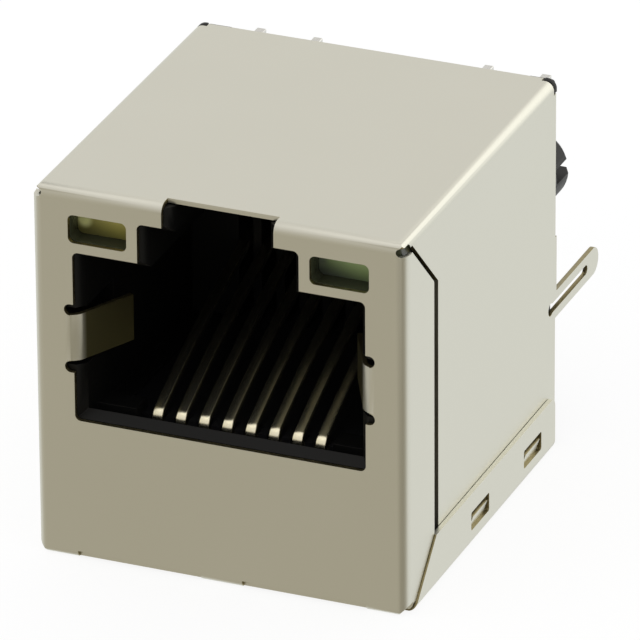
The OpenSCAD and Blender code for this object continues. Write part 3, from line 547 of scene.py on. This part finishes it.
# Bare phosphor bronze on a punched edge: half of it burnished by the punch, half torn,
# which gives a dark yellow line of uneven gloss.
bronze, tree = new_material("punched_phosphor_bronze")
place = add(tree, "ShaderNodeTexCoord").outputs["Object"]
tear = add(tree, "ShaderNodeTexNoise", {"Vector": place, "Scale": 6000.0, "Detail": 3.0})
tone = add(tree, "ShaderNodeMix", {"Factor": tear.outputs["Fac"], "A": linear("#7E7452"),
                                   "B": linear("#B9AE86")}, data_type="RGBA")
gloss = add(tree, "ShaderNodeMapRange", {"Value": tear.outputs["Fac"],
                                         "To Min": 0.3, "To Max": 0.55})
bump = add(tree, "ShaderNodeBump", {"Height": tear.outputs["Fac"], "Strength": 0.4,
                                    "Distance": 0.01 * MM})
metal = add(tree, "ShaderNodeBsdfPrincipled", {"Base Color": tone.outputs["Result"],
                                               "Metallic": 1.0,
                                               "Roughness": gloss.outputs["Result"],
                                               "Normal": bump.outputs["Normal"]})
add(tree, "ShaderNodeOutputMaterial", {"Surface": metal.outputs["BSDF"]})

shield = joined_copy("shield")
shield.data.materials.append(nickel)
shield.data.materials.append(bronze)
mark_cut_edges(shield.data, 0.23 * MM)
ease_edges(shield, 0.06 * MM)

# ------------------------------------------------------------------- studio
# A white floor and a pale surround. The surround is darker in front below the horizon,
# darkest on the right there, and brightest high behind on the right, so the folds of the
# shield show. A soft lamp from above lights the port.
white, overhead = (1.0, 1.0, 1.0, 1.0), linear("#E6E3DF")
behind_below, front_below, front_right = linear("#F1F2F0"), linear("#BBB5A5"), linear("#958F7E")
darkest_way = (0.6, -0.66, -0.45)      # unit vector to the middle of the dark patch
brightest_way = (0.44, 0.83, 0.34)     # and to the middle of the bright one
high_behind_right = linear("#FFFEFA", 1.5)


def background_factor(tree):
    """The kinds of ray, and one for rays that look at the surround: from the camera, or
    off or through a piece. It is 0 for light that falls on the pieces."""
    rays = add(tree, "ShaderNodeLightPath")
    seen = add(tree, "ShaderNodeMath", {0: rays.outputs["Is Camera Ray"],
                                        1: rays.outputs["Is Glossy Ray"]}, operation="MAXIMUM")
    seen = add(tree, "ShaderNodeMath", {0: seen.outputs[0],
                                        1: rays.outputs["Is Transmission Ray"]},
               operation="MAXIMUM")
    return rays, seen.outputs[0]


def step_up(tree, value, low, high):
    """t * t * (3 - 2 t) with t from 0 to 1 between low and high."""
    return add(tree, "ShaderNodeMapRange", {"Value": value, "From Min": low, "From Max": high},
               interpolation_type="SMOOTHSTEP").outputs["Result"]


def blend(tree, factor, first, second):
    """Colour first, turning into second as the factor goes from 0 to 1."""
    return add(tree, "ShaderNodeMix", {"Factor": factor, "A": first, "B": second},
               data_type="RGBA").outputs["Result"]


surround = bpy.data.worlds.new("surround")
surround.use_nodes = True
bpy.context.scene.world = surround
tree = surround.node_tree
tree.nodes.clear()
rays, seen = background_factor(tree)
way = add(tree, "ShaderNodeTexCoord").outputs["Generated"]
part = add(tree, "ShaderNodeSeparateXYZ", {"Vector": way})
nearness = add(tree, "ShaderNodeVectorMath", {0: way, 1: darkest_way}, operation="DOT_PRODUCT")
below = blend(tree, step_up(tree, part.outputs["Y"], -0.5, 0.2), front_below, behind_below)
below = blend(tree, step_up(tree, nearness.outputs["Value"], 0.7, 0.98), below, front_right)
around = blend(tree, step_up(tree, part.outputs["Z"], -0.1, 0.75), below, overhead)
nearness = add(tree, "ShaderNodeVectorMath", {0: way, 1: brightest_way}, operation="DOT_PRODUCT")
around = blend(tree, step_up(tree, nearness.outputs["Value"], 0.78, 0.99), around,
               high_behind_right)
pale = blend(tree, rays.outputs["Is Camera Ray"], around, white)
shown = add(tree, "ShaderNodeBackground", {"Color": pale, "Strength": 1.0})
light = add(tree, "ShaderNodeBackground", {"Color": white, "Strength": 0.75})
both = add(tree, "ShaderNodeMixShader", {0: seen, 1: light.outputs[0], 2: shown.outputs[0]})
add(tree, "ShaderNodeOutputWorld", {"Surface": both.outputs[0]})

floor_material, tree = new_material("white_floor")
rays, seen = background_factor(tree)
paper = add(tree, "ShaderNodeBsdfDiffuse", {"Color": (0.8, 0.8, 0.8, 1.0)})
faint = add(tree, "ShaderNodeBsdfDiffuse", {"Color": (0.2, 0.2, 0.2, 1.0)})
glow = add(tree, "ShaderNodeEmission", {"Color": white, "Strength": 0.85})
lit = add(tree, "ShaderNodeAddShader", {0: faint.outputs[0], 1: glow.outputs[0]})
both = add(tree, "ShaderNodeMixShader", {0: seen, 1: paper.outputs[0], 2: lit.outputs[0]})
add(tree, "ShaderNodeOutputMaterial", {"Surface": both.outputs[0]})

floor_mesh = bpy.data.meshes.new("floor")
floor_mesh.from_pydata([(-3, -3, 0), (3, -3, 0), (3, 3, 0), (-3, 3, 0)], [], [(0, 1, 2, 3)])
floor_mesh.materials.append(floor_material)
floor = bpy.data.objects.new("floor", floor_mesh)
bpy.context.scene.collection.objects.link(floor)
floor.visible_glossy = False      # metal shows the surround's lower half instead

lamp = bpy.data.lights.new("above", "AREA")
lamp.shape = "RECTANGLE"
lamp.size, lamp.size_y = 0.50, 0.50
lamp.energy = 0.18
holder = bpy.data.objects.new("above", lamp)
holder.location = (-0.15, -0.10, 0.60)
port_middle = Vector((0, 0, 8 * MM))
holder.rotation_euler = (port_middle - holder.location).to_track_quat("-Z", "Y").to_euler()
bpy.context.scene.collection.objects.link(holder)
